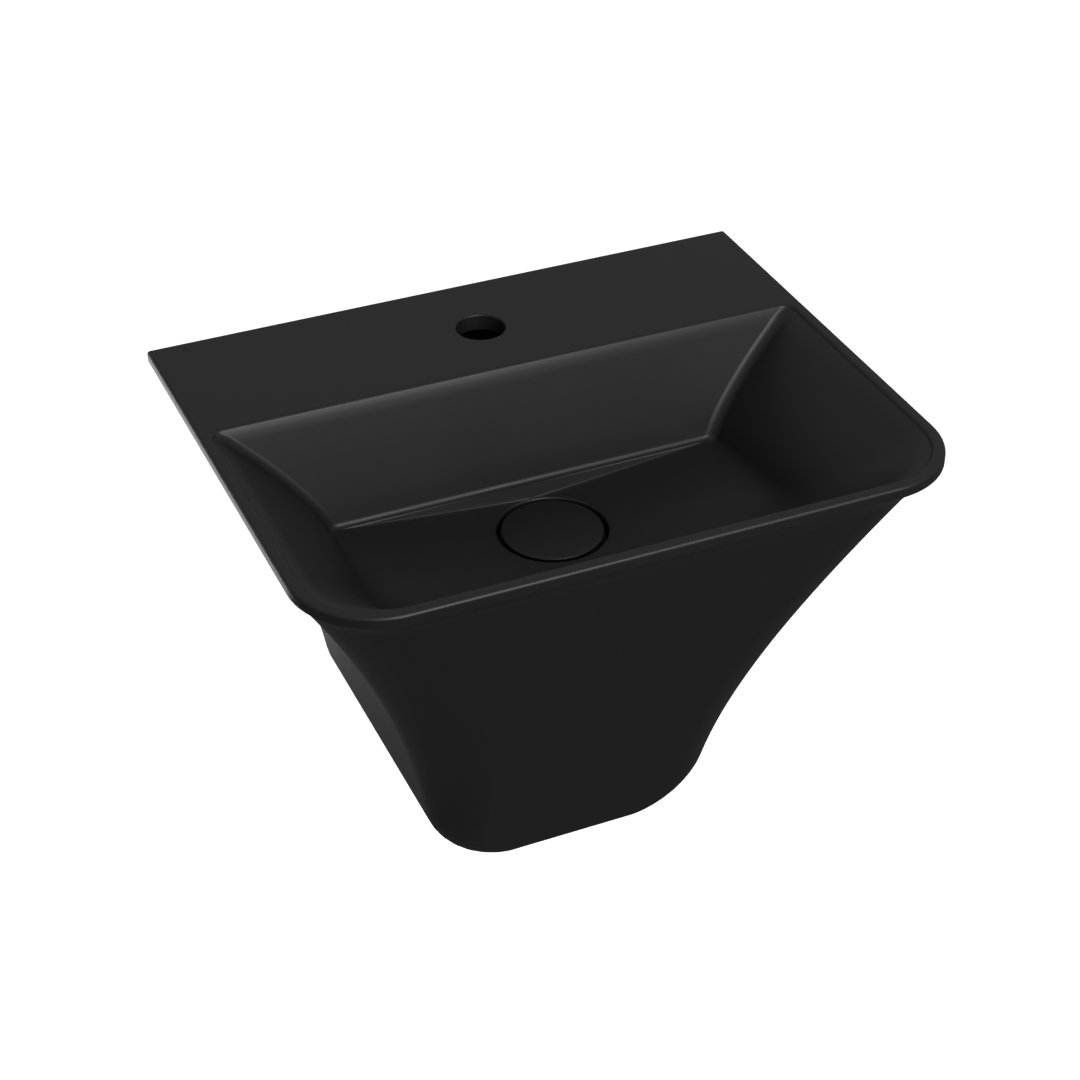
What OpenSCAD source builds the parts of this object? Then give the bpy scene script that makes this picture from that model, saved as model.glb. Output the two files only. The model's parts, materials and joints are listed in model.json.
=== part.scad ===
// Wall-hung washbasin with an integral half pedestal, click waste and bottle trap.
// The origin lies on the wall plane, midway between the two wall bolts.
// X runs along the wall, +Y goes into the wall, +Z is up. The front faces -Y.

/* [Basin] */
// Overall width of the basin at its rim
basin_w = 450; // [430:5:560]
// Overall depth from the wall to the front rim
basin_d = 360; // [350:5:440]
// Overall height from the foot to the deck
basin_h = 342; // [325:1:420]
// Thickness of the fired ceramic wall
wall = 9; // [7:0.5:11]
// Width of the rim round the bowl
rim_w = 9; // [8:0.5:12]
// Height of the upright band of the rim
lip_h = 8; // [6:0.5:12]
// Radius of the two front corners of the rim
rim_corner_r = 58; // [45:1:75]
// Distance that the front face stands back under the rim
lip_overhang = 9; // [5:0.5:12]
// Thickness of the deck
deck_t = 12; // [10:0.5:16]
// Depth of the deck from the wall to the edge of the bowl
deck_d = 121; // [118:1:130]

/* [Half pedestal] */
// Width of the foot before its corners are rounded
foot_w = 208; // [180:2:250]
// Depth of the foot from the wall
foot_d = 227; // [224:1:270]
// Radius of the two rounded lower corners seen from the front
foot_corner_r = 48; // [36:1:56]
// Power of the flare from the foot to the rim
flare_power = 1.65; // [1.4:0.05:2]
// Half width of the service opening in the underside
service_half_w = 50; // [40:1:54]
// Depth of the service opening from the wall
service_d = 196; // [180:1:200]

/* [Bowl] */
// Depth of the bowl at the foot of its back wall
bowl_depth = 83; // [70:1:90]
// Width of the bowl's floor at the back wall
bowl_floor_w = 294; // [260:2:320]
// Slope of the back wall, millimetres forward per millimetre down
back_slope = 0.26; // [0.15:0.01:0.35]
// Fall of the floor towards the front, millimetres per millimetre
floor_fall = 0.12; // [0.05:0.01:0.14]
// Rise of the floor in front of the drain, millimetres per millimetre
floor_front_rise = 0.08; // [0:0.01:0.12]
// Depth of the dish round the drain
dish_depth = 5; // [1:0.5:6]

/* [Tap hole] */
// Diameter of the tap hole
tap_hole_d = 35; // [32:0.5:37]
// Distance of the tap hole from the wall
tap_hole_y = 63; // [55:1:70]

/* [Wall fixings] */
// Distance between the two wall bolts
bolt_spacing = 280; // [200:5:300]
// Height of the deck above the wall bolts
bolt_drop = 70; // [60:1:78]
// Thickness of the panel that the wall bolts pass through
panel_t = 14; // [12:0.5:18]
// Height of that panel from the deck down
panel_h = 110; // [100:1:130]
// Width that the holes in the panel have over the wall bolts
panel_hole_clear = 4; // [3:0.5:8]
// Diameter of the wall bolts
bolt_d = 10; // [8:0.5:11]
// Length of each bolt that stands behind the wall plane
bolt_in_wall = 60; // [40:1:80]
// Length of each bolt in front of the wall plane
bolt_in_basin = 40; // [36:1:50]

/* [Waste] */
// Distance of the drain from the wall
drain_y = 189; // [182:1:190]
// Width that the drain hole in the ceramic has over the waste body's thread
drain_hole_clear = 4.1; // [3:0.1:6]
// Outer diameter of the waste body's thread
waste_d = 41.9; // [40:0.1:43]
// Diameter of the ceramic cap
cap_d = 71.5; // [68:0.5:76]
// Thickness of the ceramic cap at its edge
cap_edge_t = 2.3; // [2:0.1:3]
// Travel of the cap between closed and open
cap_travel = 8; // [6:0.5:9]
// Length of the waste body below its flange
waste_len = 67; // [60:1:75]

/* [Trap] */
// Outer diameter of the trap's pipes
pipe_d = 32; // [32:0.5:34]
// Outer diameter of the trap body
trap_d = 56; // [54:1:58]
// Depth of the water seal that the inlet tube dips into
seal_depth = 54; // [40:1:58]
// Length of the outlet pipe behind the wall plane
pipe_in_wall = 35; // [20:1:60]

/* [Hidden] */
$fn = 64;

// Levels of the basin, measured from the origin
deck_z = bolt_drop;
foot_z = deck_z - basin_h;
front_run = basin_d - lip_overhang - foot_d;
flare_band = 22;           // height of the small flare under the front lip
foot_plan_r = 18;          // plan corner radius at the foot
lip_edge_r = 2.5;          // rounded outer edge of the rim
bowl_edge_r = 3;           // rounded inner edge of the rim
bowl_power = 1.3;          // power of the bowl's side walls
bowl_front_run = 60;       // how far the bowl's front wall comes back at the floor
bowl_back_r = 8;
bowl_front_r = 50;
floor_front_r = 72;
past = 2;                  // how far a cutting form passes the face that it opens

// Levels of the waste
floor_drop = bowl_depth + floor_fall * (drain_y - deck_d - back_slope * bowl_depth);
drain_floor_z = deck_z - floor_drop - dish_depth;
recess_r = cap_d / 2 + 3;  // recess in the floor that the cap and flange lie in
recess_depth = 11;
seat_z = drain_floor_z - recess_depth;
waste_r = waste_d / 2;
drain_hole_d = waste_d + drain_hole_clear;
waste_seal_r = waste_r + 11.05;
boss_r = waste_seal_r + 8;
seat_t = 14;               // ceramic between the flange's seat and the face under it
boss_under_z = seat_z - seat_t;
gasket_t = 1.5;
flange_t = 2;
flange_r = waste_r + 10.55;
flange_top_z = seat_z + gasket_t + flange_t;
waste_bore_r = waste_r - 2.4;
waste_end_z = flange_top_z - waste_len;
waste_seal_t = 4;
slip_t = 1.5;
slip_r = waste_r + 10.05;
locknut_h = 9;
locknut_r = waste_r + 9.05;
seal_gap = 0.05;           // closed cap seal above the flange
cap_seal_t = 4;
cap_seal_in = 21;
cap_seal_out = 28.5;
cap_seal_web = 1.6;        // flat part of the cap seal, above its lip
cap_seal_lip_r = 25.5;
cap_seal_lip_w = 2.2;
cap_under_z = flange_top_z + seal_gap + cap_seal_t;
cap_crown = 1.2;
cap_bevel = 0.9;           // rise of the cap's underside towards its edge
cap_edge_top_z = cap_under_z + cap_edge_t + cap_bevel;
cap_boss_r = 12;
cap_boss_h = 3;
insert_r = 7.5;
insert_h = 5;
stem_r = 3;
stem_top_z = cap_under_z - cap_boss_h + insert_h - 0.5;
hub_r = 11;
hub_top_z = flange_top_z - 21;
hub_t = 6;
hub_arm_w = 4;
sleeve_r = 8;
sleeve_bore_r = 6.4;
sleeve_lip_t = 1.5;
sleeve_floor_t = 1.5;
sleeve_foot_r = hub_r - 1; // ring of the sleeve that stands on the hub
sleeve_foot_t = 2.5;
sleeve_top_z = flange_top_z - 3;
sleeve_floor_z = hub_top_z - 17;
rotor_h = 4;
collar_h = 3;
collar_r = 6;
rotor_stop_gap = 0.4;      // rotor below the sleeve's lip when the cap is fully up
rotor_top_z = sleeve_top_z - sleeve_lip_t - rotor_stop_gap - cap_travel;
collar_top_z = rotor_top_z - rotor_h - seal_gap;
collar_under_z = collar_top_z - collar_h;
guide_r = 2;
guide_len = 6;             // end of the plunger that stays in the sleeve's floor
lug_w = 2.2;
lug_h = 1;
spring_wire_r = 0.55;
spring_r = 4.6;
spring_turns = 5;

// Levels of the trap
nut_clear = 0.15;
coupling_h = 20;
coupling_r = waste_r + 7.05;
coupling_lip_t = 3;
washer_t = 3;
tube_collar_t = 3;
tube_collar_r = waste_r - 0.2;
tube_top_z = waste_end_z - washer_t;
pipe_r = pipe_d / 2;
pipe_wall = 1.4;
neck_r = pipe_r + 4;
neck_top_z = tube_top_z - 26;
neck_h = 13;
cone_t = 6;
cone_out = 3;              // part of a cone washer that stands out of its neck
cone_band = 2;
cone_lip = 1.6;
cone_clear = 0.05;
slip_nut_r = neck_r + 5;
slip_nut_h = 9;
slip_nut_lip_t = 2;
trap_r = trap_d / 2;
trap_wall = 3;
trap_round = min(5, trap_r - neck_r);
thread_in = 2.5;           // how far the trap's threaded foot lies inside its outline
shoulder_z = neck_top_z - neck_h;
outlet_z = shoulder_z - neck_r - 2;
tube_end_z = outlet_z - pipe_r + pipe_wall - seal_depth;
cup_gap = 11;              // clear height under the inlet tube
cup_floor_t = 3;
cup_under_z = tube_end_z - cup_gap - cup_floor_t;
cup_joint_z = outlet_z - 34;
cup_ring_t = 2.4;
cup_thread_h = 12;
cup_in = 5.5;              // wall of the cup, thread included
cup_round = 2;
cup_foot_h = 9;
cup_step = 3;
spigot_r = neck_r;
spigot_end_y = -drain_y + trap_r + 14;
flange_wall_t = 9;
flange_wall_r = pipe_r + 17;
flange_sheet_t = 1.5;
pipe_in_spigot = 18;
groove = 0.3;              // shallow groove in the pipe that marks the wall plane

// Levels of the wall fixings
panel_hole_d = bolt_d + panel_hole_clear;
bush_collar_t = 2;
bush_collar_w = 4;
fix_washer_t = 2;
fix_washer_w = 7;
nut_h = 8;
nut_r = bolt_d * 0.98;
bolt_point = 8;
bolt_thread_less = 0.6;    // the nut's end of a bolt is this much thinner than its wall end

// ---- Outline helpers ----

// Quarter arc of n + 1 points about (cx, cy), from angle a0 over 90 degrees
function arc(cx, cy, r, a0, n) =
    [for (i = [0:n]) [cx + r * cos(a0 + 90 * i / n), cy + r * sin(a0 + 90 * i / n)]];

// Points spread evenly from p to q, both ends left out
function between(p, q, n) = [for (i = [1:n]) p + (q - p) * i / (n + 1)];

// Plan outline, anticlockwise seen from above, with half width hw, back at yb and front at yf
function outline(hw, yb, yf, rb, rf, n = 8) = let (
        front_left = arc(-hw + rf, yf + rf, rf, 180, n),
        front_right = arc(hw - rf, yf + rf, rf, 270, n),
        back_right = arc(hw - rb, yb - rb, rb, 0, 3),
        back_left = arc(-hw + rb, yb - rb, rb, 90, 3))
    concat(front_left, between(front_left[n], front_right[0], 3),
        front_right, between(front_right[n], back_right[0], 3),
        back_right, between(back_right[3], back_left[0], 3),
        back_left, between(back_left[3], front_left[0], 3));

function lift(points, z) = [for (p = points) [p[0], p[1], z]];

// Closed solid skinned over rings of equal size that are listed from the bottom up
module skin(rings) {
    m = len(rings[0]);
    k = len(rings);
    sides = [for (j = [0:k - 2], i = [0:m - 1], half = [0, 1]) let (i2 = (i + 1) % m, a = j * m, b = a + m)
        half == 0 ? [a + i, b + i, b + i2] : [a + i, b + i2, a + i2]];
    bottom = [for (i = [0:m - 1]) i];
    top = [for (i = [m - 1:-1:0]) (k - 1) * m + i];
    polyhedron(points = [for (r = rings, p = r) p], faces = concat([bottom], sides, [top]), convexity = 10);
}

// ---- Basin ----

// Outer form at a height h above the foot
function rise(h) = min(1, max(0, h / (basin_h - lip_h)));
function side_w(h) = foot_w / 2 + (basin_w - foot_w) / 2 * pow(rise(h), flare_power);
function side_slope(h) =
    (basin_w - foot_w) / 2 * flare_power * pow(rise(h), flare_power - 1) / (basin_h - lip_h);
function lip_share(h) = min(1, max(0, (h - basin_h + lip_h + flare_band) / flare_band));
function front_y(h) = -foot_d - front_run * rise(h) - lip_overhang * pow(lip_share(h), 2);
function plan_r(h) = foot_plan_r + (rim_corner_r - foot_plan_r) * (1 - pow(1 - rise(h), 3));

// Width lost to a lower corner of radius r at a height h above its lowest point
function corner_loss(h, r) = h < r ? r - sqrt(r * r - pow(r - max(h, 0), 2)) : 0;

// Heights above the foot at which rings stand, close together in the rounded corners
foot_heights = [for (a = [0:15:90]) foot_corner_r * (1 - cos(a))];
side_heights = [for (i = [1:16]) foot_corner_r + (basin_h - lip_h - flare_band - foot_corner_r) * i / 16];
lip_heights = [for (i = [1:4]) basin_h - lip_h - flare_band * (1 - i / 4)];

function body_ring(h, inset = 0) =
    lift(outline(side_w(h) - corner_loss(h, foot_corner_r) - inset, 0, front_y(h) + inset, 0.2,
        plan_r(h) - inset), foot_z + h);

module body_form() {
    edge = [for (a = [0:30:90]) body_ring(basin_h - lip_edge_r * (1 - sin(a)), lip_edge_r * (1 - cos(a)))];
    skin(concat([for (h = concat(foot_heights, side_heights, lip_heights)) body_ring(h)], edge));
}

// Hollow between the outer wall, the bowl and the deck, from height h0 to h1, open back to y_back
module hollow_form(h0, h1, y_back, n) {
    front_wall = wall * sqrt(1 + pow(front_run / basin_h, 2));
    inner_r = foot_corner_r - wall;
    low = [for (a = [0:22.5:90]) wall + inner_r * (1 - cos(a))];
    high = [for (i = [1:n]) max(h0, foot_corner_r) + (h1 - max(h0, foot_corner_r)) * i / n];
    heights = h0 < foot_corner_r ? concat(low, high) : concat([h0], high);
    skin([for (h = heights) lift(outline(
        side_w(h) - wall * sqrt(1 + pow(side_slope(h), 2)) - corner_loss(h - wall, inner_r),
        y_back, front_y(h) + front_wall, 0.2, max(plan_r(h) - wall, wall), 6), foot_z + h)]);
}

// Opening in the underside through which the trap is reached
module service_form() {
    corner = 22;
    hull() {
        translate([-service_half_w, -service_d + corner, foot_z - past])
            cube([2 * service_half_w, service_d - corner + past, wall + 2 * past]);
        for (side = [-1, 1])
            translate([side * (service_half_w - corner), -service_d + corner, foot_z - past])
                cylinder(h = wall + 2 * past, r = corner, $fn = 32);
    }
}

// Bowl: s runs from 0 at the deck to 1 at the foot of its walls, grow and drop give its outside
bowl_back_y = -deck_d - back_slope * bowl_depth;
function floor_z(y) = deck_z - bowl_depth - floor_fall * (bowl_back_y - y)
    + (floor_fall + floor_front_rise) * max(0, -drain_y - recess_r - y);
function bowl_outline(s, grow = 0, n = 8) = outline(
    bowl_floor_w / 2 + (basin_w / 2 - rim_w - bowl_floor_w / 2) * pow(1 - s, bowl_power) + grow,
    -deck_d - back_slope * bowl_depth * s + grow,
    -basin_d + rim_w + bowl_front_run * pow(s, 0.9) - grow,
    bowl_back_r + grow, bowl_front_r + (floor_front_r - bowl_front_r) * s + grow, n);
function bowl_ring(s, grow = 0, drop = 0) =
    [for (p = bowl_outline(s, grow)) [p[0], p[1], deck_z - s * (deck_z - floor_z(p[1])) - drop * s]];

// Ring of the floor: k runs from 1 at the foot of the walls to 0 at the edge of the drain recess
function floor_ring(k, r, grow = 0, drop = 0) = [for (p = bowl_outline(1, grow)) let (
        a = atan2(p[1] + drain_y, p[0]),
        x = p[0] * k + r * cos(a) * (1 - k),
        y = p[1] * k + (r * sin(a) - drain_y) * (1 - k))
    [x, y, floor_z(y) * k + (drain_floor_z + dish_depth) * (1 - k) - dish_depth * (1 - k * k) - drop]];

bowl_steps = [for (i = [11:-1:1]) i / 12];
floor_steps = [0, 0.25, 0.5, 0.75, 1];

module bowl_form() {
    edge = [for (a = [30:30:90]) let (out = bowl_edge_r * (1 - cos(a)), up = bowl_edge_r * (1 - sin(a)))
        lift(bowl_outline(0, out), deck_z - up)];
    skin(concat([for (k = floor_steps) floor_ring(k, recess_r - 4)], [for (s = bowl_steps) bowl_ring(s)],
        edge, [lift(bowl_outline(0, bowl_edge_r), deck_z + past)]));
}

// Outside of the bowl's walls and floor, with the flat boss under the drain
module bowl_jacket() {
    skin(concat([for (k = floor_steps) floor_ring(k, boss_r, wall, wall + 1)],
        [for (s = bowl_steps) bowl_ring(s, wall, wall + 1)], [lift(bowl_outline(0, wall), deck_z + past)]));
    translate([0, -drain_y, boss_under_z]) cylinder(h = drain_floor_z - boss_under_z, r = boss_r);
}

module ceramic_form() {
    difference() {
        body_form();
        bowl_form();
        service_form();
        difference() {
            union() {
                hollow_form(wall, basin_h - panel_h, past, 10);
                hollow_form(basin_h - panel_h - wall, basin_h - deck_t, -panel_t, 8);
            }
            bowl_jacket();
        }
    }
}

module basin() {
    color([0.13, 0.13, 0.135]) difference() {
        resize([basin_w, 0, 0]) ceramic_form();
        translate([0, -tap_hole_y, deck_z - deck_t - past]) cylinder(h = deck_t + 2 * past, d = tap_hole_d);
        translate([0, -drain_y, seat_z]) cylinder(h = recess_depth + 2 * dish_depth + past, r = recess_r);
        translate([0, -drain_y, boss_under_z - past]) cylinder(h = seat_t + 2 * past, d = drain_hole_d);
        at_bolts() along_y(-panel_t - past) cylinder(h = panel_t + 2 * past, d = panel_hole_d);
    }
}

// ---- Small helpers ----

// Copies its children to both wall bolts
module at_bolts() {
    for (side = [-1, 1]) translate([side * bolt_spacing / 2, 0, 0]) children();
}

// Lays a child that stands on z = 0 along +Y, its lower end at y0
module along_y(y0) {
    translate([0, y0, 0]) rotate([-90, 0, 0]) children();
}

// Ring about the Z axis between two levels
module ring(r_out, r_in, z0, z1) {
    translate([0, 0, z0]) rotate_extrude() translate([r_in, 0]) square([r_out - r_in, z1 - z0]);
}

// Puts its children on the drain's axis
module on_drain() {
    translate([0, -drain_y, 0]) children();
}

// Nut with flats all round outside and a round bore
module flat_nut(r_out, r_in, z0, z1, flats) {
    difference() {
        translate([0, 0, z0]) cylinder(h = z1 - z0, r = r_out, $fn = flats);
        translate([0, 0, z0 - past]) cylinder(h = z1 - z0 + 2 * past, r = r_in);
    }
}

// ---- Cap and click mechanism ----

module waste_cap() {
    r = cap_d / 2;
    edge_z = cap_edge_top_z - cap_edge_t;
    crown_z = cap_edge_top_z + cap_crown;
    top = [for (i = [0:8]) let (x = r * 0.97 * i / 8) [x, crown_z - cap_crown * pow(x / r, 2)]];
    under_boss_z = cap_under_z - cap_boss_h;
    color([0.13, 0.13, 0.135]) on_drain() rotate_extrude() polygon(concat(
        [[0, under_boss_z + insert_h], [insert_r, under_boss_z + insert_h], [insert_r, under_boss_z],
        [cap_boss_r, under_boss_z], [cap_boss_r, cap_under_z], [r * 0.82, cap_under_z],
        [r * 0.97, edge_z], [r, edge_z + cap_edge_t * 0.3], [r, edge_z + cap_edge_t * 0.7]],
        [for (i = [8:-1:0]) top[i]]));
}

module cap_insert() {
    z0 = cap_under_z - cap_boss_h;
    color("goldenrod") on_drain() difference() {
        translate([0, 0, z0]) cylinder(h = insert_h, r = insert_r);
        translate([0, 0, z0 - past]) cylinder(h = past + stem_top_z - z0, r = stem_r);
    }
}

module cap_seal() {
    web_z = cap_under_z - cap_seal_web;
    tip_z = cap_under_z - cap_seal_t;
    tip = cap_seal_lip_w / 2;
    root = cap_seal_lip_w * 0.8;
    color([0.1, 0.1, 0.1]) on_drain() rotate_extrude() polygon([
        [cap_seal_in, cap_under_z], [cap_seal_out, cap_under_z], [cap_seal_out, web_z],
        [cap_seal_lip_r + root, web_z], [cap_seal_lip_r + tip, tip_z], [cap_seal_lip_r - tip, tip_z],
        [cap_seal_lip_r - root, web_z], [cap_seal_in, web_z]]);
}

module plunger() {
    end_z = sleeve_floor_z - cap_travel - guide_len;
    color("darkkhaki") on_drain() rotate_extrude() polygon([
        [0, end_z], [guide_r, end_z], [guide_r, collar_under_z], [collar_r, collar_under_z],
        [collar_r, collar_top_z], [stem_r, collar_top_z], [stem_r, stem_top_z], [0, stem_top_z]]);
}

// Ring that turns one step on each push; three lugs run in the sleeve's grooves
module latch_rotor() {
    z0 = rotor_top_z - rotor_h;
    color("ivory") on_drain() {
        ring(collar_r - lug_h, stem_r + nut_clear, z0, rotor_top_z);
        intersection() {
            ring(collar_r, stem_r + nut_clear, z0, rotor_top_z);
            for (i = [0:2]) rotate([0, 0, 120 * i + 90])
                translate([0, -lug_w / 2, z0]) cube([collar_r + past, lug_w, rotor_h]);
        }
    }
}

// Coil between the sleeve's floor and the plunger's collar, in its closed, squeezed state
module return_spring() {
    z0 = sleeve_floor_z + sleeve_floor_t + spring_wire_r + seal_gap;
    z1 = collar_under_z - spring_wire_r - seal_gap;
    steps = 16;
    sides = 6;
    n = spring_turns * steps;
    rings = [for (j = [0:n]) let (a = 360 * j / steps, z = z0 + (z1 - z0) * j / n)
        [for (i = [0:sides - 1]) let (b = 360 * i / sides, rr = spring_r + spring_wire_r * cos(b))
            [rr * cos(a), rr * sin(a), z + spring_wire_r * sin(b)]]];
    m = sides;
    walls = [for (j = [0:n - 1], i = [0:m - 1], half = [0, 1]) let (i2 = (i + 1) % m, a = j * m, b = a + m)
        half == 0 ? [a + i, a + i2, b + i2] : [a + i, b + i2, b + i]];
    color("silver") on_drain() polyhedron(points = [for (r = rings, p = r) p],
        faces = concat([[for (i = [m - 1:-1:0]) i]], walls, [[for (i = [0:m - 1]) n * m + i]]),
        convexity = 10);
}

// Sleeve that stands on the waste's hub; its lip stops the rotor when the cap is up
module cartridge_sleeve() {
    color("whitesmoke") on_drain() rotate_extrude() polygon([
        [guide_r + nut_clear, sleeve_floor_z], [sleeve_r, sleeve_floor_z], [sleeve_r, hub_top_z],
        [sleeve_foot_r, hub_top_z], [sleeve_foot_r, hub_top_z + sleeve_foot_t],
        [sleeve_r, hub_top_z + sleeve_foot_t], [sleeve_r, sleeve_top_z], [stem_r + nut_clear, sleeve_top_z],
        [stem_r + nut_clear, sleeve_top_z - sleeve_lip_t], [sleeve_bore_r, sleeve_top_z - sleeve_lip_t],
        [sleeve_bore_r, sleeve_floor_z + sleeve_floor_t],
        [guide_r + nut_clear, sleeve_floor_z + sleeve_floor_t]]);
}

// ---- Waste ----

module waste_body() {
    color([0.75, 0.75, 0.76]) on_drain() {
        difference() {
            union() {
                translate([0, 0, waste_end_z]) cylinder(h = waste_len, r = waste_r);
                translate([0, 0, flange_top_z - flange_t]) cylinder(h = flange_t, r = flange_r);
            }
            difference() {
                translate([0, 0, waste_end_z - past]) cylinder(h = waste_len + 2 * past, r = waste_bore_r);
                translate([0, 0, hub_top_z - hub_t]) cylinder(h = hub_t, r = hub_r);
                for (i = [0:2]) rotate([0, 0, 120 * i + 90])
                    translate([0, -hub_arm_w / 2, hub_top_z - hub_t]) cube([waste_r, hub_arm_w, hub_t]);
            }
            translate([0, 0, hub_top_z - hub_t - past])
                cylinder(h = hub_t + 2 * past, r = sleeve_r + nut_clear);
        }
    }
}

module flange_gasket() {
    color([0.1, 0.1, 0.1]) on_drain() ring(flange_r - 0.5, waste_r + nut_clear, seat_z, seat_z + gasket_t);
}

module waste_seal() {
    color([0.1, 0.1, 0.1]) on_drain()
        ring(waste_seal_r, waste_r + nut_clear, boss_under_z - waste_seal_t, boss_under_z);
}

module slip_washer() {
    z1 = boss_under_z - waste_seal_t;
    color("gainsboro") on_drain() ring(slip_r, waste_r + nut_clear, z1 - slip_t, z1);
}

module waste_locknut() {
    z1 = boss_under_z - waste_seal_t - slip_t;
    color("darkkhaki") on_drain() flat_nut(locknut_r, waste_r + nut_clear, z1 - locknut_h, z1, 8);
}

// ---- Trap ----

// Union nut that pulls the inlet tube's collar up against the waste's end
module coupling_nut() {
    z0 = tube_top_z - tube_collar_t - coupling_lip_t;
    color("whitesmoke") on_drain() difference() {
        flat_nut(coupling_r, pipe_r + 2 * nut_clear, z0, z0 + coupling_h, 8);
        translate([0, 0, tube_top_z - tube_collar_t]) cylinder(h = coupling_h, r = waste_r + nut_clear);
    }
}

module coupling_washer() {
    color([0.1, 0.1, 0.1]) on_drain()
        ring(tube_collar_r, pipe_r - pipe_wall, tube_top_z, waste_end_z);
}

module inlet_tube() {
    color("whitesmoke") on_drain() rotate_extrude() polygon([
        [pipe_r - pipe_wall, tube_end_z], [pipe_r, tube_end_z], [pipe_r, tube_top_z - tube_collar_t],
        [tube_collar_r, tube_top_z - tube_collar_t], [tube_collar_r, tube_top_z],
        [pipe_r - pipe_wall, tube_top_z]]);
}

// Tapered rubber ring that seals a pipe in a threaded neck
module cone_washer(z0) {
    in_r = pipe_r + cone_clear;
    out_r = neck_r - 0.5;
    rotate_extrude() polygon([[in_r, z0], [pipe_r + cone_lip, z0], [out_r, z0 + cone_t - cone_band],
        [out_r, z0 + cone_t], [in_r, z0 + cone_t]]);
}

// Slip nut over a neck of radius neck_r that ends at z = 0, its lip beyond the cone washer
module slip_nut() {
    difference() {
        flat_nut(slip_nut_r, pipe_r + 2 * nut_clear, -slip_nut_h, cone_out + slip_nut_lip_t, 10);
        translate([0, 0, -slip_nut_h - past])
            cylinder(h = slip_nut_h + past + cone_out, r = neck_r + nut_clear);
    }
}

module inlet_slip_nut() {
    color("whitesmoke") on_drain() translate([0, 0, neck_top_z]) slip_nut();
}

module inlet_cone_washer() {
    color([0.1, 0.1, 0.1]) on_drain() cone_washer(neck_top_z - cone_t + cone_out);
}

// Tapered seat for a cone washer at the end of a neck that ends at z = 0
module cone_seat() {
    translate([0, 0, cone_out - cone_t])
        cylinder(h = cone_t, r1 = pipe_r + cone_lip + 0.1, r2 = neck_r + 1.3);
}

// Bottle with a threaded neck on top, an open threaded foot and the outlet spigot behind
module trap_body() {
    foot_r = trap_r - thread_in;
    bore_r = pipe_r + nut_clear + cone_clear;
    thread_top = cup_joint_z + cup_thread_h;
    spigot_len = spigot_end_y + drain_y;
    color("whitesmoke") on_drain() difference() {
        union() {
            rotate_extrude() polygon([[0, cup_joint_z], [foot_r, cup_joint_z], [foot_r, thread_top],
                [trap_r, thread_top + thread_in], [trap_r, shoulder_z - trap_round],
                [trap_r - 0.3 * trap_round, shoulder_z - 0.3 * trap_round],
                [trap_r - trap_round, shoulder_z], [neck_r, shoulder_z],
                [neck_r, neck_top_z], [0, neck_top_z]]);
            translate([0, 0, outlet_z]) along_y(0) cylinder(h = spigot_len, r = spigot_r);
        }
        translate([0, 0, cup_joint_z - past])
            cylinder(h = shoulder_z - trap_wall - cup_joint_z + past, r = foot_r - trap_wall);
        translate([0, 0, shoulder_z - 2 * trap_wall]) cylinder(h = neck_h + 3 * trap_wall, r = bore_r);
        translate([0, 0, neck_top_z]) cone_seat();
        translate([0, 0, outlet_z]) along_y(0) cylinder(h = spigot_len + past, r = bore_r);
        translate([0, 0, outlet_z]) along_y(spigot_len) cone_seat();
    }
}

module cup_seal() {
    color([0.1, 0.1, 0.1]) on_drain()
        ring(trap_r - thread_in - 0.3, trap_r - cup_in + 0.3, cup_joint_z - cup_ring_t, cup_joint_z);
}

module trap_cup() {
    bore = trap_r - cup_in;
    seat = cup_joint_z - cup_ring_t;
    collar = trap_r + thread_in;
    top = cup_joint_z + cup_thread_h - 1;
    shell = trap_r - 1;
    tall = top - cup_under_z + past;
    color("whitesmoke") on_drain() difference() {
        rotate_extrude() polygon([[0, cup_under_z], [bore - cup_round, cup_under_z],
            [bore + thread_in, cup_under_z + cup_foot_h / 2], [shell, cup_under_z + cup_foot_h],
            [shell, seat - 1 - cup_step], [collar, seat - 1], [collar, top], [0, top]]);
        translate([0, 0, cup_under_z + cup_floor_t]) cylinder(h = tall, r = bore - cup_round);
        translate([0, 0, cup_under_z + cup_foot_h]) cylinder(h = tall, r = bore);
        translate([0, 0, seat]) cylinder(h = tall, r = trap_r - thread_in + nut_clear);
    }
}

module outlet_slip_nut() {
    color("whitesmoke") translate([0, spigot_end_y, outlet_z]) rotate([-90, 0, 0]) slip_nut();
}

module outlet_cone_washer() {
    color([0.1, 0.1, 0.1]) translate([0, spigot_end_y, outlet_z]) rotate([-90, 0, 0])
        cone_washer(cone_out - cone_t);
}

// Pipe with a shallow groove that marks the wall plane
module outlet_pipe() {
    y0 = spigot_end_y - pipe_in_spigot;
    color("whitesmoke") translate([0, 0, outlet_z]) along_y(0) rotate_extrude() polygon([
        [pipe_r - pipe_wall, y0], [pipe_r, y0], [pipe_r, -1], [pipe_r - groove, -1], [pipe_r - groove, 0],
        [pipe_r, 0], [pipe_r, pipe_in_wall], [pipe_r - pipe_wall, pipe_in_wall]]);
}

// Dished cover ring where the pipe enters the wall
module wall_flange() {
    t = flange_wall_t;
    color("whitesmoke") translate([0, 0, outlet_z]) along_y(-t) rotate_extrude() polygon([
        [pipe_r + nut_clear, 0], [pipe_r + 2, 0], [pipe_r + 3.5, t - 4],
        [flange_wall_r, t - flange_sheet_t], [flange_wall_r, t],
        [flange_wall_r - 2, t], [pipe_r + flange_sheet_t, t - flange_sheet_t],
        [pipe_r + nut_clear, t - 3]]);
}

// ---- Wall fixings ----

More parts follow.
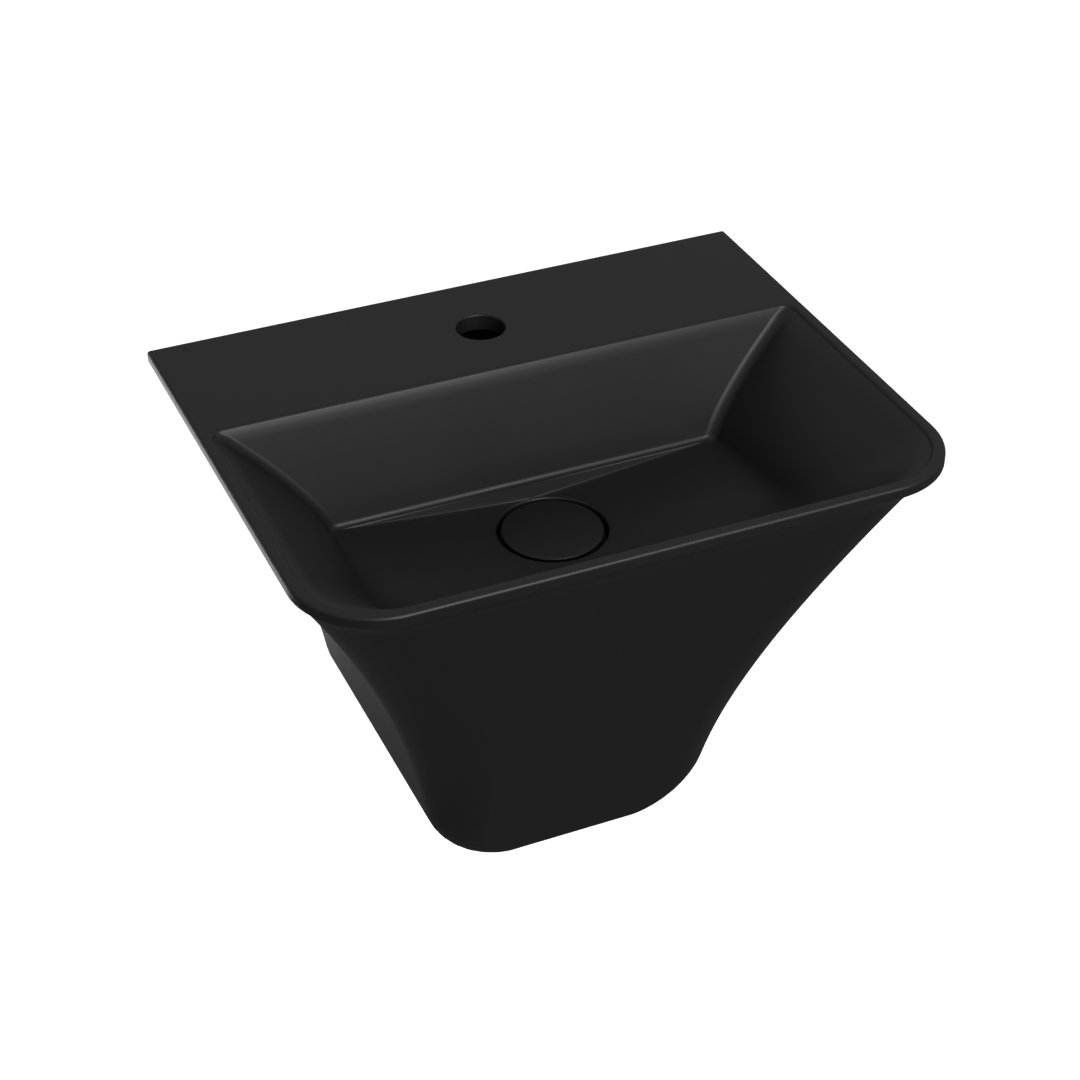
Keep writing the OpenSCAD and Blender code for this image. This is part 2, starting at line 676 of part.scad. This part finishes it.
// Bolt with a wood thread in the wall and a thinner machine thread in the basin
module hanger_bolts() {
    r = bolt_d / 2;
    thin = r - bolt_thread_less / 2;
    color("silver") at_bolts() along_y(0) rotate_extrude() polygon([
        [0, -bolt_in_basin], [thin, -bolt_in_basin], [thin, 0], [r, 0],
        [r, bolt_in_wall - bolt_point], [r / 4, bolt_in_wall], [0, bolt_in_wall]]);
}

module fixing_bushes() {
    color("ivory") at_bolts() along_y(-panel_t - bush_collar_t) difference() {
        union() {
            cylinder(h = bush_collar_t, r = panel_hole_d / 2 + bush_collar_w);
            cylinder(h = bush_collar_t + panel_t - 1, r = panel_hole_d / 2 - 0.1);
        }
        translate([0, 0, -past]) cylinder(h = panel_t + 2 * bush_collar_t + past, r = bolt_d / 2 + 0.1);
    }
}

module fixing_washers() {
    color("silver") at_bolts() along_y(-panel_t - bush_collar_t - fix_washer_t)
        ring(bolt_d / 2 + fix_washer_w, bolt_d / 2 + nut_clear, 0, fix_washer_t);
}

module fixing_nuts() {
    color("silver") at_bolts() along_y(-panel_t - bush_collar_t - fix_washer_t - nut_h)
        flat_nut(nut_r, (bolt_d - bolt_thread_less) / 2 + cone_clear, 0, nut_h, 6);
}

basin();
waste_cap();
cap_insert();
cap_seal();
plunger();
latch_rotor();
return_spring();
cartridge_sleeve();
waste_body();
flange_gasket();
waste_seal();
slip_washer();
waste_locknut();
coupling_nut();
coupling_washer();
inlet_tube();
inlet_slip_nut();
inlet_cone_washer();
trap_body();
cup_seal();
trap_cup();
outlet_slip_nut();
outlet_cone_washer();
outlet_pipe();
wall_flange();
hanger_bolts();
fixing_bushes();
fixing_washers();
fixing_nuts();
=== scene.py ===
import json
import math
import bmesh
import bpy
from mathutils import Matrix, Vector


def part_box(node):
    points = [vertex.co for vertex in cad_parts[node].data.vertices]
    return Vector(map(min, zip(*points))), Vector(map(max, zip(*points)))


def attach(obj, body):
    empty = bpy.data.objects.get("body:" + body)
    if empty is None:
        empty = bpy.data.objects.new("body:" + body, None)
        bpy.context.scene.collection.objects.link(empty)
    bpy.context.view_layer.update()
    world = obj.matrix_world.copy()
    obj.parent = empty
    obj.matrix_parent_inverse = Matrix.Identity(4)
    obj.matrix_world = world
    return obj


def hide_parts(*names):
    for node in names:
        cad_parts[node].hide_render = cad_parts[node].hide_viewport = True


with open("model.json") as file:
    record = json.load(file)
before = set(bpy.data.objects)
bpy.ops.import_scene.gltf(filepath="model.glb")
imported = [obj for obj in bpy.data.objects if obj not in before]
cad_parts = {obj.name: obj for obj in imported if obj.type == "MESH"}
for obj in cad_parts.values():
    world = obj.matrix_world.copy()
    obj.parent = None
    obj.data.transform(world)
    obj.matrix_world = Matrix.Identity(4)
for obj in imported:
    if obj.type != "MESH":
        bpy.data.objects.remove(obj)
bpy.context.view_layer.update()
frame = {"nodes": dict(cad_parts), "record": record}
print("frame loaded,", len(frame["nodes"]), "nodes")

# Selecting and editing

def clearSelection():
    for item in bpy.context.selected_objects:
        item.select_set(False)


def makeActive(item):
    clearSelection()
    item.select_set(True)
    bpy.context.view_layer.objects.active = item


def startMesh(name):
    # an empty mesh object at the origin, left in edit mode
    clearSelection()
    bpy.ops.mesh.primitive_plane_add(size=1, location=(0, 0, 0))
    item = bpy.context.object
    item.name = item.data.name = name
    bpy.ops.object.mode_set(mode="EDIT")
    bpy.context.tool_settings.mesh_select_mode = (True, False, False)
    bpy.ops.mesh.select_all(action="SELECT")
    bpy.ops.mesh.delete(type="VERT")
    bmesh.from_edit_mesh(item.data).verts.layers.int.new("ring")
    return item


def pick(item, test):
    # selects the vertices that pass the test, with the edges and faces between them
    bpy.ops.mesh.select_all(action="DESELECT")
    mesh = bmesh.from_edit_mesh(item.data)
    for vert in mesh.verts:
        if test(vert):
            vert.select = True
    mesh.select_flush(True)
    bmesh.update_edit_mesh(item.data)


def pickRings(item, *tags):
    layer = bmesh.from_edit_mesh(item.data).verts.layers.int["ring"]
    pick(item, lambda vert: vert[layer] in tags)


def tagRing(item, tag):
    mesh = bmesh.from_edit_mesh(item.data)
    layer = mesh.verts.layers.int["ring"]
    for vert in mesh.verts:
        if vert[layer] == 0:
            vert[layer] = tag
    bmesh.update_edit_mesh(item.data)


def finishMesh(item, angle=35):
    bpy.ops.mesh.select_all(action="SELECT")
    bpy.ops.mesh.remove_doubles(threshold=1e-5)
    bpy.ops.mesh.normals_make_consistent(inside=False)
    bpy.ops.object.mode_set(mode="OBJECT")
    makeActive(item)
    bpy.ops.object.shade_smooth_by_angle(angle=math.radians(angle))


# Outlines that are stacked and bridged

cornerSteps = {"front": 16, "back": 12}


def ring(half, backY, frontY, z, backR, frontR, frontHalf=None, frontZ=None):
    return {"half": half, "backY": backY, "frontY": frontY, "z": z, "backR": backR, "frontR": frontR,
            "frontHalf": half if frontHalf is None else frontHalf, "frontZ": z if frontZ is None else frontZ}


def addRing(item, tag, shape):
    # outline with four rounded corners; its front may be narrower or lower than its back
    middle = (0, (shape["backY"] + shape["frontY"]) / 2, shape["z"])
    bpy.ops.mesh.select_all(action="DESELECT")
    bpy.ops.mesh.primitive_plane_add(size=1, location=middle)
    depth = shape["backY"] - shape["frontY"]
    bpy.ops.transform.resize(value=(2 * shape["half"], depth, 1), center_override=middle)
    bpy.ops.mesh.delete(type="ONLY_FACE")
    layer = bmesh.from_edit_mesh(item.data).verts.layers.int["ring"]
    atFront = lambda vert: vert[layer] == 0 and vert.co.y < middle[1] - depth * 0.4
    pick(item, atFront)
    bpy.ops.transform.resize(value=(shape["frontHalf"] / shape["half"], 1, 1), center_override=middle)
    bpy.ops.transform.translate(value=(0, 0, shape["frontZ"] - shape["z"]))
    pick(item, lambda vert: vert[layer] == 0)
    bpy.ops.mesh.subdivide(number_cuts=1)
    for side, radius in (("front", shape["frontR"]), ("back", shape["backR"])):
        layer = bmesh.from_edit_mesh(item.data).verts.layers.int["ring"]
        sign = -1 if side == "front" else 1
        pick(item, lambda vert: vert[layer] == 0 and sign * (vert.co.y - middle[1]) > depth * 0.499
             and abs(vert.co.x) > min(shape["half"], shape["frontHalf"]) * 0.99)
        bpy.ops.mesh.bevel(offset=radius, segments=cornerSteps[side], affect="VERTICES", profile=0.5)
    tagRing(item, tag)


def closeRing(item, tag):
    pickRings(item, tag)
    bpy.ops.mesh.edge_face_add()


def stack(name, shapes):
    # closed skin over outlines, listed in order
    item = startMesh(name)
    for index, shape in enumerate(shapes, 1):
        addRing(item, index, shape)
    for index in range(1, len(shapes)):
        pickRings(item, index, index + 1)
        bpy.ops.mesh.bridge_edge_loops()
    closeRing(item, 1)
    closeRing(item, len(shapes))
    finishMesh(item)
    return item


def cut(item, tool, operation="DIFFERENCE"):
    makeActive(item)
    modifier = item.modifiers.new("cut", "BOOLEAN")
    modifier.operation = operation
    modifier.solver = "EXACT"
    modifier.object = tool
    bpy.ops.object.modifier_apply(modifier="cut")
    bpy.data.objects.remove(tool)


def rod(name, start, radius, length, alongY=False, sides=96):
    clearSelection()
    middle = Vector(start) + Vector((0, length / 2, 0) if alongY else (0, 0, length / 2))
    bpy.ops.mesh.primitive_cylinder_add(vertices=sides, radius=radius, depth=length, location=middle,
                                        rotation=(math.pi / 2 if alongY else 0, 0, 0))
    bpy.context.object.name = name
    bpy.ops.object.transform_apply(location=True, rotation=True, scale=True)
    return bpy.context.object


def spun(name, points, centre, steps=96, angle=35):
    # (radius, height) profile turned about a vertical axis
    item = startMesh(name)
    bpy.ops.mesh.primitive_plane_add(size=0.01, location=(centre[0] + points[0][0], centre[1], centre[2] + points[0][1]))
    bpy.ops.mesh.merge(type="CENTER")
    for before, after in zip(points, points[1:]):
        step = (after[0] - before[0], 0, after[1] - before[1])
        bpy.ops.mesh.extrude_region_move(TRANSFORM_OT_translate={"value": step})
    bpy.ops.mesh.select_all(action="SELECT")
    bpy.ops.mesh.spin(steps=steps, angle=2 * math.pi, center=centre, axis=(0, 0, 1))
    finishMesh(item, angle)
    return item


# Basin

basinLow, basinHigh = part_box("basin")
basin = {
    "width": basinHigh.x - basinLow.x, "depth": -basinLow.y, "height": basinHigh.z - basinLow.z,
    "deckZ": basinHigh.z, "wall": 0.009, "rim": 0.009, "lip": 0.008, "lipEdge": 0.0025, "bowlEdge": 0.003,
    "footWidth": 0.208, "footDepth": 0.227, "footCorner": 0.048, "footPlanR": 0.018, "rimCorner": 0.058,
    "flarePower": 1.65, "flareBand": 0.022, "overhang": 0.009, "deckDepth": 0.121, "deckThick": 0.012,
    "bowlDepth": 0.083, "floorWidth": 0.294, "backSlope": 0.26, "floorFall": 0.12, "frontRise": 0.08, "dish": 0.005,
    "bowlPower": 1.3, "frontRun": 0.060, "bowlBackR": 0.008, "bowlFrontR": 0.050, "floorFrontR": 0.072,
    "backEdge": 0.0012, "footEdge": 0.0022, "tapY": -0.063, "tapR": 0.0175, "tapEdge": 0.0014,
    "drainY": -0.189, "recessR": 0.03875, "recessDepth": 0.011, "recessEdge": 0.0016,
    "drainR": 0.023, "seatThick": 0.014, "bossR": 0.040, "panel": 0.014, "panelHeight": 0.110,
    "boltX": 0.140, "boltR": 0.007, "serviceHalf": 0.050, "serviceDepth": 0.196, "serviceR": 0.022,
    "valleyBack": 0.003, "valleyFront": 0.028,
    "step": 2e-5,   # level outlines that are bridged lie this far apart, so that their corners pair up
}
footZ = basin["deckZ"] - basin["height"]
upright = basin["height"] - basin["lip"]
frontRun = basin["depth"] - basin["overhang"] - basin["footDepth"]
bowlBackY = -basin["deckDepth"] - basin["backSlope"] * basin["bowlDepth"]


def rise(h):
    return min(1, max(0, h / upright))


def sideHalf(h):
    return basin["footWidth"] / 2 + (basin["width"] - basin["footWidth"]) / 2 * rise(h) ** basin["flarePower"]


def sideSlope(h):
    spread = (basin["width"] - basin["footWidth"]) / 2
    return spread * basin["flarePower"] * rise(h) ** (basin["flarePower"] - 1) / upright


def frontY(h):
    share = min(1, max(0, (h - upright + basin["flareBand"]) / basin["flareBand"]))
    return -basin["footDepth"] - frontRun * rise(h) - basin["overhang"] * share ** 2


def planR(h):
    return basin["footPlanR"] + (basin["rimCorner"] - basin["footPlanR"]) * (1 - (1 - rise(h)) ** 3)


def cornerLoss(h, radius):
    return radius - math.sqrt(radius ** 2 - (radius - max(h, 0)) ** 2) if h < radius else 0


def bodyRing(h, inset=0, frontInset=0):
    return ring(sideHalf(h) - cornerLoss(h, basin["footCorner"]) - inset, -inset, frontY(h) + inset + frontInset,
                footZ + h, basin["backEdge"], planR(h) - inset)


def floorZ(y):
    behind = basin["deckZ"] - basin["bowlDepth"] - basin["floorFall"] * (bowlBackY - y)
    return behind + (basin["floorFall"] + basin["frontRise"]) * max(0, basin["drainY"] - basin["recessR"] - y)


def bowlHalf(s):
    low = basin["floorWidth"] / 2
    return low + (basin["width"] / 2 - basin["rim"] - low) * (1 - s) ** basin["bowlPower"]


def bowlBack(s):
    return -basin["deckDepth"] - basin["backSlope"] * basin["bowlDepth"] * s


def bowlFront(s):
    return -basin["depth"] + basin["rim"] + basin["frontRun"] * s ** 0.9


def bowlZ(s, y):
    return basin["deckZ"] - s * (basin["deckZ"] - floorZ(y))


def bowlRing(back, front, grow=0, drop=0):
    # back and front say how far down the wall the outline lies there, 0 at the deck and 1 at the floor
    backY, frontAt = bowlBack(back), bowlFront(front)
    spread = basin["floorFrontR"] - basin["bowlFrontR"]
    return ring(bowlHalf(back) + grow, backY + grow, frontAt - grow, bowlZ(back, backY) - drop * back,
                basin["bowlBackR"] + grow, basin["bowlFrontR"] + spread * front + grow,
                bowlHalf(front) + grow, bowlZ(front, frontAt) - drop * front)


def bend(a, b, c, t):
    return a * (1 - t) ** 2 + 2 * b * t * (1 - t) + c * t ** 2


def valleyRing(t, backStart=0.96, frontStart=0.72):
    # rounds the walls into the floor, tight at the back and wide at the front
    near, wide = basin["valleyBack"], basin["valleyFront"]
    backY = bend(bowlBack(backStart), bowlBack(1), bowlBack(1) - near, t)
    frontAt = bend(bowlFront(frontStart), bowlFront(1), bowlFront(1) + wide, t)
    backZ = bend(bowlZ(backStart, bowlBack(backStart)), floorZ(bowlBack(1)), floorZ(bowlBack(1) - near), t)
    frontZ = bend(bowlZ(frontStart, bowlFront(frontStart)), floorZ(bowlFront(1)), floorZ(bowlFront(1) + wide), t)
    spread = basin["floorFrontR"] - basin["bowlFrontR"]
    radius = bend(basin["bowlFrontR"] + spread * frontStart, basin["floorFrontR"], basin["floorFrontR"] - wide, t)
    return ring(bend(bowlHalf(backStart), bowlHalf(1), bowlHalf(1) - near, t), backY, frontAt, backZ,
                basin["bowlBackR"], radius,
                bend(bowlHalf(frontStart), bowlHalf(1), bowlHalf(1) - wide, t), frontZ)


dropAtDrain = basin["bowlDepth"] + basin["floorFall"] * (bowlBackY - basin["drainY"])
drainFloorZ = basin["deckZ"] - dropAtDrain - basin["dish"]
seatZ = drainFloorZ - basin["recessDepth"]
bossZ = seatZ - basin["seatThick"]


def circleAt(radius, z, lean=0):
    # round outline about the drain, its corners almost meeting; lean is its fall from back to front
    corner = radius - basin["step"] * 2
    return ring(radius, basin["drainY"] + radius, basin["drainY"] - radius, z + lean * radius, corner, corner,
                frontZ=z - lean * radius)


def floorRings(wide, narrow, steps=10):
    # outlines between the foot of the walls and the edge of the drain recess
    return [{key: wide[key] + (narrow[key] - wide[key]) * part / steps for key in wide}
            for part in range(1, steps)]


def bodyShapes():
    edge = basin["footEdge"]
    heights = [basin["footCorner"] * (1 - math.cos(math.radians(part))) for part in range(0, 91, 10)]
    shapes = [bodyRing(h, frontInset=cornerLoss(h, edge)) for h in sorted(heights + [edge * 0.1, edge * 0.6])]
    steps = 22
    for part in range(1, steps + 1):
        span = upright - basin["flareBand"] - basin["footCorner"]
        shapes.append(bodyRing(basin["footCorner"] + span * part / steps))
    for part in range(1, 9):
        shapes.append(bodyRing(upright - basin["flareBand"] * (1 - part / 8)))
    for angle in range(0, 91, 15):
        turn = math.radians(angle)
        top = basin["height"] - basin["lipEdge"] * (1 - math.sin(turn))
        shapes.append(bodyRing(top, basin["lipEdge"] * (1 - math.cos(turn))))
    r = basin["bowlEdge"]
    for angle in range(90, 14, -15):
        turn = math.radians(angle)
        out, up = r * (1 - math.cos(turn)), r * (1 - math.sin(turn))
        lip = bowlRing(0, 0, out)
        lip["z"] = lip["frontZ"] = basin["deckZ"] - up - basin["step"]
        shapes.append(lip)
    for part in range(1, 15):
        u = part / 14
        shapes.append(bowlRing(0.96 * u, 0.72 * u))
    for part in range(1, 9):
        shapes.append(valleyRing(part / 8))
    e = basin["recessEdge"]
    edge = [circleAt(basin["recessR"] + e * (1 - math.sin(math.radians(a))),
                     drainFloorZ - e * (1 - math.cos(math.radians(a)))) for a in range(0, 91, 18)]
    shapes += floorRings(shapes[-1], edge[0]) + edge
    for radius, z in ((basin["recessR"], seatZ + 0.002), (basin["recessR"] - 0.0006, seatZ + 0.0006),
                      (basin["recessR"] - 0.002, seatZ), (basin["drainR"] + 0.001, seatZ - basin["step"]),
                      (basin["drainR"], seatZ - 0.001), (basin["drainR"], bossZ - 0.002)):
        shapes.append(circleAt(radius, z))
    return shapes


def hollowRing(h, backY):
    lean = math.sqrt(1 + sideSlope(h) ** 2)
    half = sideHalf(h) - basin["wall"] * lean - cornerLoss(h - basin["wall"], basin["footCorner"] - basin["wall"])
    front = frontY(h) + basin["wall"] * math.sqrt(1 + (frontRun / basin["height"]) ** 2)
    return ring(half, backY, front, footZ + h, 0.0005, max(planR(h) - basin["wall"], basin["wall"]))


def hollow(name, low, high, backY, steps):
    heights = []
    inner = basin["footCorner"] - basin["wall"]
    if low < basin["footCorner"]:
        heights = [basin["wall"] + inner * (1 - math.cos(math.radians(a))) for a in range(0, 90, 15)]
        low = basin["footCorner"]
    heights += [low + (high - low) * part / steps for part in range(steps + 1)]
    item = stack(name, [hollowRing(h, backY) for h in heights])
    jacket = [bowlRing(0, 0, basin["wall"])]
    jacket[0]["z"] = jacket[0]["frontZ"] = basin["deckZ"] + 0.002
    jacket += [bowlRing(u / 8, u / 8, basin["wall"], basin["wall"] + 0.001) for u in range(1, 9)]
    under = circleAt(basin["bossR"] - 0.001, drainFloorZ - basin["wall"] - 0.001)
    jacket += floorRings(jacket[-1], under) + [under]
    cut(item, stack("jacket", jacket))
    cut(item, rod("boss", (0, basin["drainY"], bossZ), basin["bossR"], drainFloorZ - 0.002 - bossZ))
    return item


print("basin: outer skin, rim, bowl and drain recess")
basinBody = stack("basinBody", bodyShapes())
print("basin: hollow behind the bowl")
cut(basinBody, hollow("lowerHollow", basin["wall"], basin["height"] - basin["panelHeight"], 0.002, 12))
cut(basinBody, hollow("upperHollow", basin["height"] - basin["panelHeight"] - basin["wall"],
                      basin["height"] - basin["deckThick"], -basin["panel"], 10))
print("basin: openings")
service = [ring(basin["serviceHalf"], 0.002, -basin["serviceDepth"], footZ + z, 0.0005, basin["serviceR"])
           for z in (-0.002, basin["wall"] + 0.002)]
cut(basinBody, stack("service", service))
cut(basinBody, rod("tapCutter", (0, basin["tapY"], basin["deckZ"] - basin["deckThick"] - 0.002), basin["tapR"], 0.020))
for side in (-1, 1):
    cut(basinBody, rod("boltCutter", (side * basin["boltX"], -basin["panel"] - 0.002, 0), basin["boltR"],
                       basin["panel"] + 0.004, alongY=True, sides=48))

makeActive(basinBody)
bpy.ops.object.mode_set(mode="EDIT")
pick(basinBody, lambda vert: abs(math.hypot(vert.co.x, vert.co.y - basin["tapY"]) - basin["tapR"]) < 2e-5
     and abs(vert.co.z - basin["deckZ"]) < 2e-5)
bpy.ops.mesh.bevel(offset=basin["tapEdge"], segments=4, affect="EDGES", profile=0.5)
finishMesh(basinBody, 38)
weighted = basinBody.modifiers.new("flats", "WEIGHTED_NORMAL")
weighted.keep_sharp = True
bpy.ops.object.modifier_apply(modifier="flats")
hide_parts("basin")
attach(basinBody, "basin_frame")

# Drain cap

capLow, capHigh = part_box("waste_cap")
cap = {"r": (capHigh.x - capLow.x) / 2, "edgeThick": 0.0023, "crown": 0.0012, "underZ": -0.0270204, "bossR": 0.012,
       "bossDrop": capLow.z, "threadR": 0.0075, "threadDepth": 0.005, "steps": 14}


def capProfile():
    r, top = cap["r"], capHigh.z
    edgeTop = top - cap["crown"]
    points = [(0, cap["bossDrop"] + cap["threadDepth"]), (cap["threadR"], cap["bossDrop"] + cap["threadDepth"]),
              (cap["threadR"], cap["bossDrop"]), (cap["bossR"] - 0.001, cap["bossDrop"]),
              (cap["bossR"], cap["bossDrop"] + 0.001), (cap["bossR"], cap["underZ"]), (r * 0.8, cap["underZ"]),
              (r * 0.9, cap["underZ"] + 0.0003), (r * 0.965, edgeTop - cap["edgeThick"])]
    half = cap["edgeThick"] / 2
    for angle in range(-70, 71, 20):   # rounded outer edge
        turn = math.radians(angle)
        points.append((r - half * 0.8 * (1 - math.cos(turn)), edgeTop - half + half * math.sin(turn)))
    for part in range(cap["steps"], -1, -1):
        x = r * 0.965 * part / cap["steps"]
        points.append((x, top - cap["crown"] * (x / r) ** 2))
    return points


print("drain cap")
capDisc = spun("capDisc", capProfile(), (0, basin["drainY"], 0), 128, 50)
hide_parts("waste_cap")
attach(capDisc, "cap_assembly")

# Finishes


class Wire:
    # a node socket that can stand in sums
    def __init__(self, maker, socket):
        self.maker, self.socket = maker, socket

    def sum(self, operation, first, second):
        return self.maker.node("ShaderNodeMath", {"operation": operation}, {0: first, 1: second})

    def __add__(self, other):
        return self.sum("ADD", self, other)

    __radd__ = __add__

    def __mul__(self, other):
        return self.sum("MULTIPLY", self, other)

    __rmul__ = __mul__

    def __sub__(self, other):
        return self.sum("SUBTRACT", self, other)

    def __rsub__(self, other):
        return self.sum("SUBTRACT", other, self)

    def __truediv__(self, other):
        return self.sum("DIVIDE", self, other)

    def __rtruediv__(self, other):
        return self.sum("DIVIDE", other, self)

    def __pow__(self, other):
        return self.sum("POWER", self, other)


class Maker:
    def __init__(self, tree):
        self.tree = tree

    def node(self, kind, settings, inputs, output=0):
        made = self.tree.nodes.new(kind)
        for key, value in settings.items():
            if key == "stops":
                for index, (position, colour) in enumerate(value):
                    stops = made.color_ramp.elements
                    stop = stops[index] if index < 2 else stops.new(position)
                    stop.position, stop.color = position, colour
            else:
                setattr(made, key, value)
        for key, value in inputs.items():
            self.feed(made.inputs[key], value)
        return Wire(self, made.outputs[output])

    def feed(self, socket, value):
        if isinstance(value, Wire):
            self.tree.links.new(value.socket, socket)
        else:
            socket.default_value = value


class Finish(Maker):
    def __init__(self, name):
        self.material = bpy.data.materials.new(name)
        self.material.use_nodes = True
        super().__init__(self.material.node_tree)
        self.shader = self.tree.nodes["Principled BSDF"]
        self.place = self.node("ShaderNodeTexCoord", {}, {}, "Object")

    def noise(self, scale, detail=3, rough=0.5):
        return self.node("ShaderNodeTexNoise", {}, {"Vector": self.place, "Scale": scale, "Detail": detail,
                                                    "Roughness": rough})

    def blend(self, share, first, second):
        # Mix node's colour sockets are the last ones named A, B and Result
        return self.node("ShaderNodeMix", {"data_type": "RGBA"}, {0: share, 6: first, 7: second}, 2)

    def put(self, **values):
        for key, value in values.items():
            self.feed(self.shader.inputs[key.replace("_", " ")], value)

    def bump(self, height, strength, distance):
        self.put(Normal=self.node("ShaderNodeBump", {}, {"Height": height, "Strength": strength,
                                                         "Distance": distance}))


def grey(level, tint=(1, 1, 1)):
    return tuple(level * part for part in tint) + (1,)


glaze = {"dark": 0.0085, "light": 0.0115, "roughLow": 0.40, "roughHigh": 0.50, "ior": 1.5}


def blackGlaze(name):
    finish = Finish(name)
    cloud, grain = finish.noise(9, 4), finish.noise(900, 2)
    finish.put(Base_Color=finish.blend(cloud, grey(glaze["dark"]), grey(glaze["light"], (1, 1, 1.02))),
               Roughness=glaze["roughLow"] + cloud * (glaze["roughHigh"] - glaze["roughLow"]) + (grain - 0.5) * 0.04,
               IOR=glaze["ior"])
    finish.bump(grain * 0.3 + finish.noise(160, 2) * 0.7, 0.05, 0.0003)
    return finish.material


def plainFinish(name, dark, light, roughness, spread=0.1, metal=0, scale=60, bumpScale=400, bumpStrength=0.08):
    finish = Finish(name)
    cloud = finish.noise(scale, 4)
    finish.put(Base_Color=finish.blend(cloud, dark, light), Metallic=metal,
               Roughness=roughness - spread / 2 + cloud * spread)
    finish.bump(finish.noise(bumpScale, 3), bumpStrength, 0.0002)
    return finish.material


def turnedMetal(name, dark, light, roughness, lines=2500):
    # fine lathe marks run round the drain's axis
    finish = Finish(name)
    marks = finish.node("ShaderNodeTexNoise", {"noise_dimensions": "3D"}, {
        "Vector": finish.node("ShaderNodeMapping", {}, {"Vector": finish.place, "Scale": (0.02, 0.02, 1)}),
        "Scale": lines, "Detail": 2})
    cloud = finish.noise(45, 3)
    finish.put(Base_Color=finish.blend(cloud, dark, light), Metallic=1, Roughness=roughness + cloud * 0.12 + marks * 0.05)
    finish.bump(marks, 0.1, 0.0001)
    return finish.material


finishes = {
    "glazed_black": blackGlaze("mattBlackGlaze"),
    "black_rubber": plainFinish("mouldedRubber", grey(0.018), grey(0.030), 0.62, 0.14, scale=90),
    "bare_brass": turnedMetal("machinedBrass", (0.50, 0.34, 0.13, 1), (0.64, 0.47, 0.21, 1), 0.24),
    "chromed_brass": turnedMetal("chromePlate", grey(0.62), grey(0.74, (1, 1, 1.01)), 0.08),
    "white_plastic": plainFinish("whitePolypropylene", grey(0.70, (1, 1, 0.98)), grey(0.80, (1, 1, 0.985)), 0.42, 0.1,
                                 scale=25, bumpScale=700),
    "nylon": plainFinish("naturalNylon", (0.66, 0.62, 0.52, 1), (0.78, 0.75, 0.66, 1), 0.45, 0.1, scale=70),
    "zinc_steel": plainFinish("zincPlate", grey(0.46, (1, 1, 1.03)), grey(0.62, (1, 1, 1.02)), 0.34, 0.16, 1, 120, 900, 0.12),
    "spring_steel": plainFinish("drawnSpringWire", grey(0.50), grey(0.64), 0.24, 0.1, 1, 200, 1500, 0.1),
}


def dress(item, material):
    item.data.materials.clear()
    item.data.materials.append(material)


print("finishes")
slots = {part["node"]: part["material_slot"] for part in frame["record"]["subparts"]}
for node, item in frame["nodes"].items():
    for index in range(len(item.material_slots)):
        item.material_slots[index].link = "OBJECT"
        item.material_slots[index].material = finishes[slots[node]]
dress(basinBody, finishes["glazed_black"])
dress(capDisc, finishes["glazed_black"])

# Floor, light and camera

studio = {"floorZ": -0.80, "floorSize": 14, "lowAt": -0.7, "highAt": 0.8, "lowLight": 0.09, "highLight": 0.31,
          "keyAt": (0.3, -2.3, 1.3), "keyPower": 40, "keySize": 1.4,
          "backAt": (-0.3, 0.75, -0.4), "backPower": 3.4, "backSize": 0.7,
          "cameraAt": (-0.5478, -1.4188, 0.9065), "aimAt": (0.0245, -0.1117, -0.0892), "lens": 79.2}


def paleFloor():
    clearSelection()
    bpy.ops.mesh.primitive_plane_add(size=studio["floorSize"], location=(0, 0, studio["floorZ"]))
    floor = bpy.context.object
    floor.name = "floor"
    finish = Finish("palePaint")
    cloud = finish.noise(3, 2)
    finish.put(Base_Color=finish.blend(cloud, grey(0.86), grey(0.88)), Roughness=0.9, Emission_Color=grey(1),
               Emission_Strength=0.85)
    dress(floor, finish.material)
    floor.visible_diffuse = floor.visible_glossy = False


def softLight(name, place, target, size, power):
    clearSelection()
    bpy.ops.object.light_add(type="AREA", location=place)
    lamp = bpy.context.object
    lamp.name = name
    lamp.visible_camera = False
    lamp.data.shape, lamp.data.size, lamp.data.energy = "SQUARE", size, power
    lamp.rotation_euler = (Vector(target) - Vector(place)).to_track_quat("-Z", "Y").to_euler()


def whiteWorld():
    # seen white, but as a light it is dimmer, and dimmest from below
    world = bpy.data.worlds.new("studioAir")
    bpy.context.scene.world = world
    world.use_nodes = True
    maker = Maker(world.node_tree)
    seen = maker.node("ShaderNodeLightPath", {}, {}, "Is Camera Ray")
    direction = maker.node("ShaderNodeTexCoord", {}, {}, "Generated")
    height = maker.node("ShaderNodeSeparateXYZ", {}, {"Vector": direction}, "Z")
    light = maker.node("ShaderNodeMapRange", {"interpolation_type": "SMOOTHSTEP"}, {
        "Value": height, "From Min": studio["lowAt"], "From Max": studio["highAt"],
        "To Min": studio["lowLight"], "To Max": studio["highLight"]})
    background = world.node_tree.nodes["Background"]
    maker.feed(background.inputs["Color"], grey(1))
    maker.feed(background.inputs["Strength"], light + seen * (1 - light))


print("floor, light and camera")
paleFloor()
whiteWorld()
softLight("keyLight", studio["keyAt"], (0, -0.18, 0), studio["keySize"], studio["keyPower"])
softLight("backLight", studio["backAt"], (-0.2, -0.2, -0.1), studio["backSize"], studio["backPower"])
clearSelection()
bpy.ops.object.camera_add(location=studio["cameraAt"])
camera = bpy.context.object
camera.rotation_euler = (Vector(studio["aimAt"]) - Vector(studio["cameraAt"])).to_track_quat("-Z", "Y").to_euler()
camera.data.lens, camera.data.sensor_width = studio["lens"], 36
camera.data.clip_end = 40
bpy.context.scene.camera = camera
bpy.context.scene.view_settings.view_transform = "Standard"
